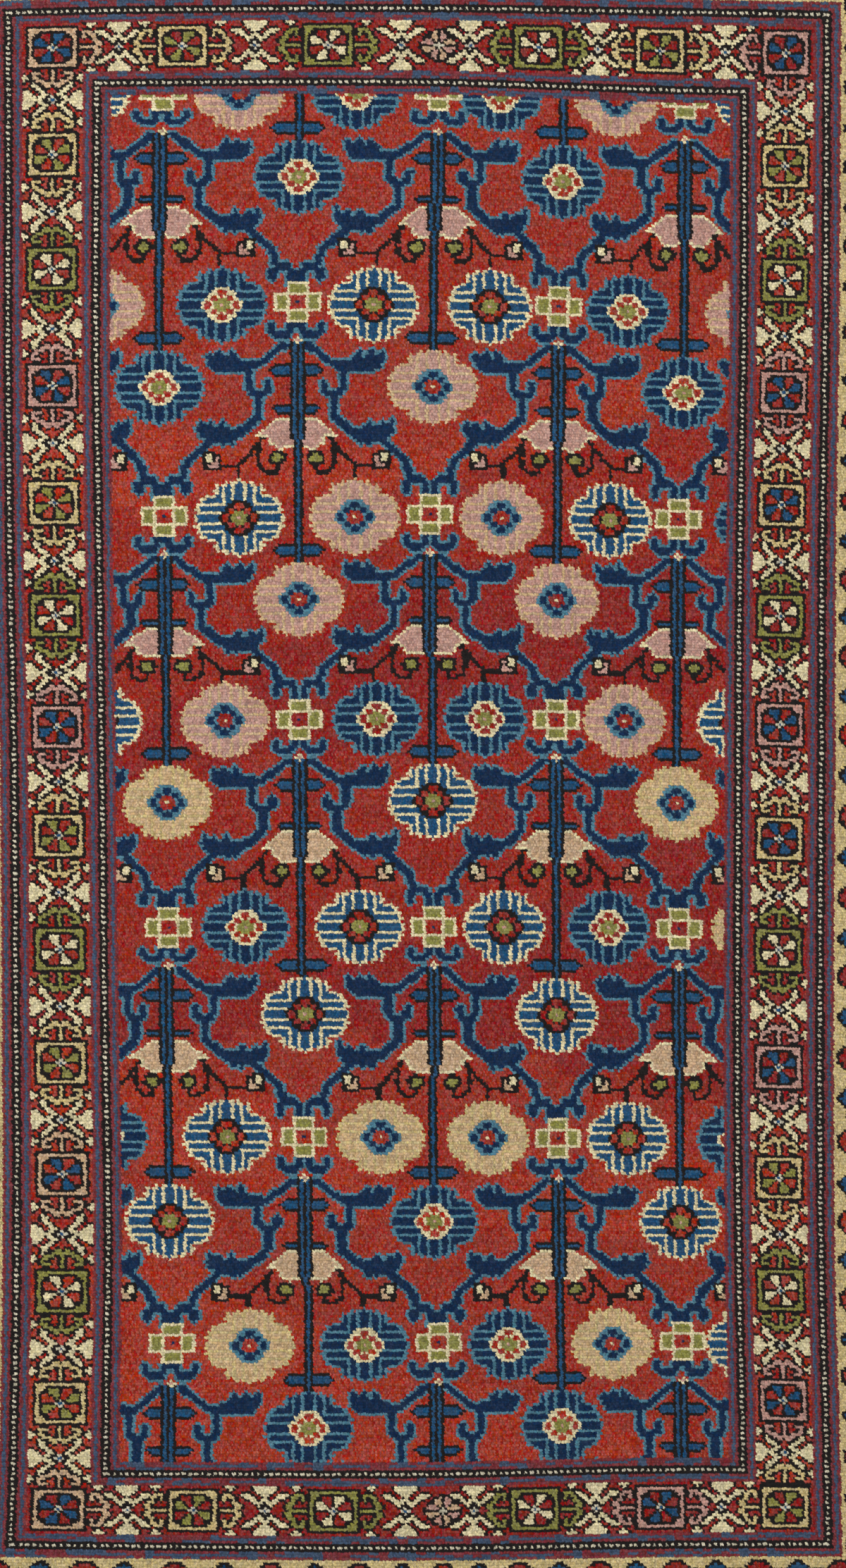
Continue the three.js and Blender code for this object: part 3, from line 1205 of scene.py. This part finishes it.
def wool_pile(wools):
    """Cut ends of hand-spun wool. Each knot shows two tufts that lean over, frayed where two
    colours meet. Each tuft is painted lighter at its tip and darker towards its edge: a painted
    highlight on the tips and painted shade in the gaps between them."""
    material = new_material("hand_knotted_wool_pile")
    add = partial(add_node, material)
    uv = add("UVMap", uv_map="knots")
    knots = add("SeparateXYZ", {0: uv})
    u, v = knots, knots.node.outputs[1]
    column = add("Math", {0: u}, operation="FLOOR")
    row = add("Math", {0: v}, operation="FLOOR")

    # The ends fray into locks about 1 mm wide, which reach a quarter of a knot to each side.
    # Single fibres are too fine to show.
    fray = add("TexNoise", {
        "Vector": uv, "Scale": 3.2, "Detail": 2.0, "Roughness": 0.65,
    }, output="Color", noise_dimensions="2D")
    fray = add("VectorMath", {0: fray, 1: (0.5, 0.5, 0.5)}, operation="SUBTRACT")
    fray = add("VectorMath", {0: fray, 1: (0.5, 0.55, 0)}, operation="MULTIPLY")
    frayed = add("VectorMath", {0: uv, 1: fray}, operation="ADD")
    frayed = add("SeparateXYZ", {0: frayed})

    # The tufts lean: the upper end of each one lies a quarter of a knot further left.
    height_in_row = add("Math", {0: v}, operation="FRACT")
    lean = add("Math", {0: height_in_row, 1: 0.28, 2: frayed}, operation="MULTIPLY_ADD")
    twice = add("Math", {0: lean, 1: 2.0}, operation="MULTIPLY")
    tuft_place = add("CombineXYZ", {0: twice, 1: frayed.node.outputs[1]})
    # One cell for each tuft, two to a knot.
    tuft = add("TexVoronoi", {
        "Vector": tuft_place, "Scale": 1.0, "Randomness": 0.55,
    }, voronoi_dimensions="2D")
    tuft_random = tuft.node.outputs["Color"]
    root = add("SeparateXYZ", {0: tuft.node.outputs["Position"]})
    root_u = add("Math", {0: root, 1: 0.5, 2: -0.14}, operation="MULTIPLY_ADD")
    root_v = root.node.outputs[1]
    place_u = add("Math", {0: root_u, 1: column}, operation="SUBTRACT")
    place_v = add("Math", {0: root_v, 1: row}, operation="SUBTRACT")
    colour = knot_wool(add, place_u, place_v, wools)

    # Each knot took the dye a little differently, each tuft is painted brighter and dimmer at
    #     random by up to a quarter, partly its own tone and partly painted light and shade for the
    #     slant it stands at, and skeins change every few rows.
    knot_column = add("Math", {0: root_u}, operation="FLOOR")
    knot_row = add("Math", {0: root_v}, operation="FLOOR")
    knot_place = add("CombineXYZ", {0: knot_column, 1: knot_row})
    knot_random = add("TexWhiteNoise", {"Vector": knot_place}, noise_dimensions="2D")
    tuft_random = add("SeparateColor", {0: tuft_random})
    skein_place = add("VectorMath", {0: uv, 1: (0.035, 0.7, 0)}, operation="MULTIPLY")
    skein = add("TexNoise", {
        "Vector": skein_place, "Scale": 1.0, "Detail": 2.0,
    }, noise_dimensions="2D")
    cloud = add("TexNoise", {"Vector": uv, "Scale": 0.06, "Detail": 3.0}, noise_dimensions="2D")
    # Painted highlight and shade: each tuft is painted up to 12% lighter at its tip and down to
    # half as bright at its edge, darkest in the gaps between tufts.
    depth = add("MapRange", {
        "Value": tuft, "From Min": 0.12, "From Max": 0.75, "To Min": 1.12, "To Max": 0.5,
    })
    value = depth
    for share, amount in ((knot_random, 0.16), (tuft_random, 0.55), (skein, 0.34), (cloud, 0.16)):
        factor = add("MapRange", {
            "Value": share, "To Min": 1 - amount / 2, "To Max": 1 + amount / 2,
        })
        value = add("Math", {0: value, 1: factor}, operation="MULTIPLY")
    hue = add("MapRange", {"Value": tuft_random.node.outputs[1], "To Min": 0.492, "To Max": 0.51})
    saturation = add("MapRange", {
        "Value": tuft_random.node.outputs[2], "To Min": 1.08, "To Max": 0.86,
    })
    colour = add("HueSaturation", {
        "Hue": hue, "Saturation": saturation, "Value": value, "Color": colour,
    })

    # Relief: rounded tufts 0.7 mm deep, with the fibres on them.
    fibre_place = add("VectorMath", {0: tuft_place, 1: (3.0, 1.6, 1)}, operation="MULTIPLY")
    fibre = add("TexNoise", {
        "Vector": fibre_place, "Scale": 1.0, "Detail": 3.0,
    }, noise_dimensions="2D")
    relief = add("Math", {0: tuft, 1: -1.0, 2: fibre}, operation="MULTIPLY_ADD")
    wool_surface(add, colour, relief, {
        "Strength": 0.6, "Distance": 0.7 * MM, "Roughness": 0.92, "Specular IOR Level": 0.15,
        "Sheen Weight": 0.05, "Sheen Roughness": 0.4,
    })
    return material


def wool_back(wools):
    """The backs of the knots: two round wool loops to each one, in straight rows, with the
    thin weft between the rows. Each loop is painted darker towards its edge: painted shade in
    the gaps between the loops and the rows."""
    material = new_material("hand_knotted_wool_back")
    add = partial(add_node, material)
    uv = add("UVMap", uv_map="knots")
    knots = add("SeparateXYZ", {0: uv})
    place_u = add("Math", {0: knots}, operation="FRACT")
    place_v = add("Math", {0: knots.node.outputs[1]}, operation="FRACT")
    colour = knot_wool(add, place_u, place_v, wools)
    loop_place = add("VectorMath", {0: uv, 1: (2, 1, 1)}, operation="MULTIPLY")
    loop = add("TexVoronoi", {
        "Vector": loop_place, "Scale": 1.0, "Randomness": 0.15,
    }, voronoi_dimensions="2D")
    # Painted shade: each loop is darker towards its edge, where it meets the next loop.
    value = add("MapRange", {
        "Value": loop, "From Min": 0.2, "From Max": 0.62, "To Min": 1.0, "To Max": 0.45,
    })
    colour = add("HueSaturation", {"Value": value, "Color": colour})
    relief = add("Math", {0: loop, 1: -1.0}, operation="MULTIPLY")
    wool_surface(add, colour, relief, {
        "Strength": 0.8, "Distance": 0.8 * MM, "Roughness": 0.9, "Specular IOR Level": 0.25,
    })
    return material


def overcast_wool(wools):
    """Indigo wool wound tightly round the side cord. Turns differ a little in colour, and each
    shows the fine twist of its two plies, with painted shade in the hollows between the strands."""
    material = new_material("overcast_indigo_wool")
    add = partial(add_node, material)
    uv = add("UVMap", uv_map="turns")
    turns = add("SeparateXYZ", {0: uv})
    turn = add("Math", {0: turns.node.outputs[1]}, operation="FLOOR")
    turn_random = add("TexWhiteNoise", {"W": turn}, noise_dimensions="1D")
    # Strands about half a millimetre wide, which run round the cord.
    ply_place = add("VectorMath", {0: uv, 1: (16, 5, 1)}, operation="MULTIPLY")
    ply = add("TexNoise", {"Vector": ply_place, "Scale": 1.0, "Detail": 3.0}, noise_dimensions="2D")
    value = add("MapRange", {"Value": turn_random, "To Min": 0.8, "To Max": 1.2})
    # Painted shade: each strand is darker in its hollows and lighter on its crown, following the
    # relief.
    painted_strand_shade = add("MapRange", {
        "Value": ply, "From Min": 0.3, "From Max": 0.7, "To Min": 0.7, "To Max": 1.2,
    })
    value = add("Math", {0: value, 1: painted_strand_shade}, operation="MULTIPLY")
    colour = add("HueSaturation", {"Value": value, "Color": (*wools.slate_blue, 1)})
    wool_surface(add, colour, ply, {
        "Strength": 0.5, "Distance": 0.4 * MM, "Roughness": 0.88, "Specular IOR Level": 0.3,
        "Sheen Weight": 0.1, "Sheen Roughness": 0.5,
    })
    return material


def plain_weave(wools):
    """Undyed warp and weft in plain weave. Fine cross-ribs, with painted shade between the threads,
    uneven in colour as raw wool is.
    """
    material = new_material("plain_woven_undyed_wool")
    add = partial(add_node, material)
    uv = add("UVMap", uv_map="picks")
    # Two warps to a knot, and picks 0.9 mm apart, drawn a little coarser than they are.
    weave_place = add("VectorMath", {0: uv, 1: (2, 18, 1)}, operation="MULTIPLY")
    weave = add("TexVoronoi", {
        "Vector": weave_place, "Scale": 1.0, "Randomness": 0.3,
    }, voronoi_dimensions="2D")
    # Painted shade: each thread is darker towards its edges, in the gaps between warps and picks.
    value = add("MapRange", {
        "Value": weave, "From Min": 0.1, "From Max": 0.7, "To Min": 1.08, "To Max": 0.6,
    })
    tint = add("TexNoise", {"Vector": uv, "Scale": 0.4, "Detail": 3.0}, noise_dimensions="2D")
    tint = add("MapRange", {"Value": tint, "To Min": 0.85, "To Max": 1.15})
    value = add("Math", {0: value, 1: tint}, operation="MULTIPLY")
    colour = add("HueSaturation", {"Value": value, "Color": (*wools.ivory, 1)})
    relief = add("Math", {0: weave, 1: -1.0}, operation="MULTIPLY")
    wool_surface(add, colour, relief, {
        "Strength": 0.7, "Distance": 0.5 * MM, "Roughness": 0.9, "Specular IOR Level": 0.25,
    })
    return material


def pale_floor():
    """Matt painted screed, nearly even in colour."""
    material = new_material("matt_painted_floor")
    add = partial(add_node, material)
    place = add("TexCoord", output="Object")
    cloud = add("TexNoise", {"Vector": place, "Scale": 1.5, "Detail": 4.0})
    value = add("MapRange", {"Value": cloud, "To Min": 0.97, "To Max": 1.03})
    colour = add("HueSaturation", {"Value": value, "Color": (*linear("#d9d5cd"), 1)})
    shader = add("BsdfPrincipled", {
        "Base Color": colour, "Roughness": 0.8, "Specular IOR Level": 0.3,
    })
    add("OutputMaterial", {"Surface": shader}, output=None)
    return material


# Stage

# The photo looks straight down. It shows 0.85 mm of rug to a pixel, and its middle lies a few
# millimetres from the middle of the drawing.
PHOTO_PIXELS = (1200, 2225)
RUG_PER_PIXEL = 0.85 * MM
PHOTO_MIDDLE = (7.1 * MM, -8.2 * MM)
LENS_MM = 85
SENSOR_MM = 36


def make_floor():
    """A plain pale floor under the rug"""
    bm = bmesh.new()
    bmesh.ops.create_grid(bm, x_segments=1, y_segments=1, size=6)
    floor = new_object("floor", bm)
    floor.data.materials.append(pale_floor())


def make_camera(loom):
    """A camera that looks straight down and frames what the photo shows"""
    data = bpy.data.cameras.new("camera")
    data.type = "PERSP"
    data.lens = LENS_MM
    data.sensor_width = SENSOR_MM
    data.clip_end = 50
    camera = bpy.data.objects.new("camera", data)
    seen_length = PHOTO_PIXELS[1] * RUG_PER_PIXEL
    distance = seen_length * LENS_MM / SENSOR_MM
    camera.location = (PHOTO_MIDDLE[0] - loom.middle_x, PHOTO_MIDDLE[1] - loom.middle_y,
                       loom.sizes.thickness + distance)
    bpy.context.scene.collection.objects.link(camera)
    bpy.context.scene.camera = camera


# Two soft boxes, the stronger one at the upper left, where the photo is lighter.
LIGHTS = (
    {"name": "soft_box_left", "place": (-2.5, 1.7, 3.2), "size": 2.6, "watts": 118},
    {"name": "soft_box_right", "place": (2.4, 0.2, 3.4), "size": 2.6, "watts": 38},
)


def make_lights():
    """Soft boxes, and an even grey light from all round"""
    for light in LIGHTS:
        data = bpy.data.lights.new(light["name"], "AREA")
        data.size = light["size"]
        data.energy = light["watts"]
        lamp = bpy.data.objects.new(light["name"], data)
        lamp.location = light["place"]
        lamp.rotation_euler = (-Vector(light["place"])).to_track_quat("-Z", "Y").to_euler()
        bpy.context.scene.collection.objects.link(lamp)
    world = bpy.data.worlds.new("even_light")
    world.use_nodes = True
    background = world.node_tree.nodes["Background"]
    background.inputs["Color"].default_value = (1, 1, 1, 1)
    background.inputs["Strength"].default_value = 0.55
    bpy.context.scene.world = world
    bpy.context.scene.view_settings.view_transform = "Standard"


# Operators and panel


class RUG_OT_pile(bpy.types.Operator):
    """Knot the pile from the drawing"""

    bl_idname = "rug.pile"
    bl_label = "Knot the Pile"

    def execute(self, context):
        make_pile(Loom(context.scene.rug_sizes), context.scene.rug_wools)
        return {"FINISHED"}


class RUG_OT_back(bpy.types.Operator):
    """Make the back, which shows the drawing in reverse"""

    bl_idname = "rug.back"
    bl_label = "Make the Back"

    def execute(self, context):
        make_back(Loom(context.scene.rug_sizes), context.scene.rug_wools)
        return {"FINISHED"}


class RUG_OT_side_cords(bpy.types.Operator):
    """Overcast the cord along each side"""

    bl_idname = "rug.side_cords"
    bl_label = "Overcast the Sides"

    def execute(self, context):
        make_side_cords(Loom(context.scene.rug_sizes), context.scene.rug_wools)
        return {"FINISHED"}


class RUG_OT_end_bands(bpy.types.Operator):
    """Weave the flat band at each end"""

    bl_idname = "rug.end_bands"
    bl_label = "Weave the Ends"

    def execute(self, context):
        make_end_bands(Loom(context.scene.rug_sizes), context.scene.rug_wools)
        return {"FINISHED"}


class RUG_OT_stage(bpy.types.Operator):
    """Set the floor, the lights and the camera"""

    bl_idname = "rug.stage"
    bl_label = "Set the Stage"

    def execute(self, context):
        make_floor()
        make_camera(Loom(context.scene.rug_sizes))
        make_lights()
        return {"FINISHED"}


OPERATORS = (RUG_OT_stage, RUG_OT_pile, RUG_OT_back, RUG_OT_side_cords, RUG_OT_end_bands)


class RUG_PT_rug(bpy.types.Panel):
    """The rug's sizes, wools and makers"""

    bl_idname = "RUG_PT_rug"
    bl_label = "Hand-knotted Rug"
    bl_space_type = "VIEW_3D"
    bl_region_type = "UI"
    bl_category = "Rug"

    def draw(self, context):
        layout = self.layout
        for group in (context.scene.rug_sizes, context.scene.rug_wools):
            column = layout.column(align=True)
            for name in type(group).__annotations__:
                column.prop(group, name)
        for operator in OPERATORS:
            layout.operator(operator.bl_idname)


CLASSES = (RugSizes, RugWools, *OPERATORS, RUG_PT_rug)


def register():
    for cls in CLASSES:
        bpy.utils.register_class(cls)
    bpy.types.Scene.rug_sizes = PointerProperty(type=RugSizes)
    bpy.types.Scene.rug_wools = PointerProperty(type=RugWools)


def unregister():
    del bpy.types.Scene.rug_wools
    del bpy.types.Scene.rug_sizes
    for cls in reversed(CLASSES):
        bpy.utils.unregister_class(cls)


def main():
    register()
    bpy.ops.rug.stage()
    bpy.ops.rug.pile()
    bpy.ops.rug.back()
    bpy.ops.rug.side_cords()
    bpy.ops.rug.end_bands()


if __name__ == "__main__":
    main()
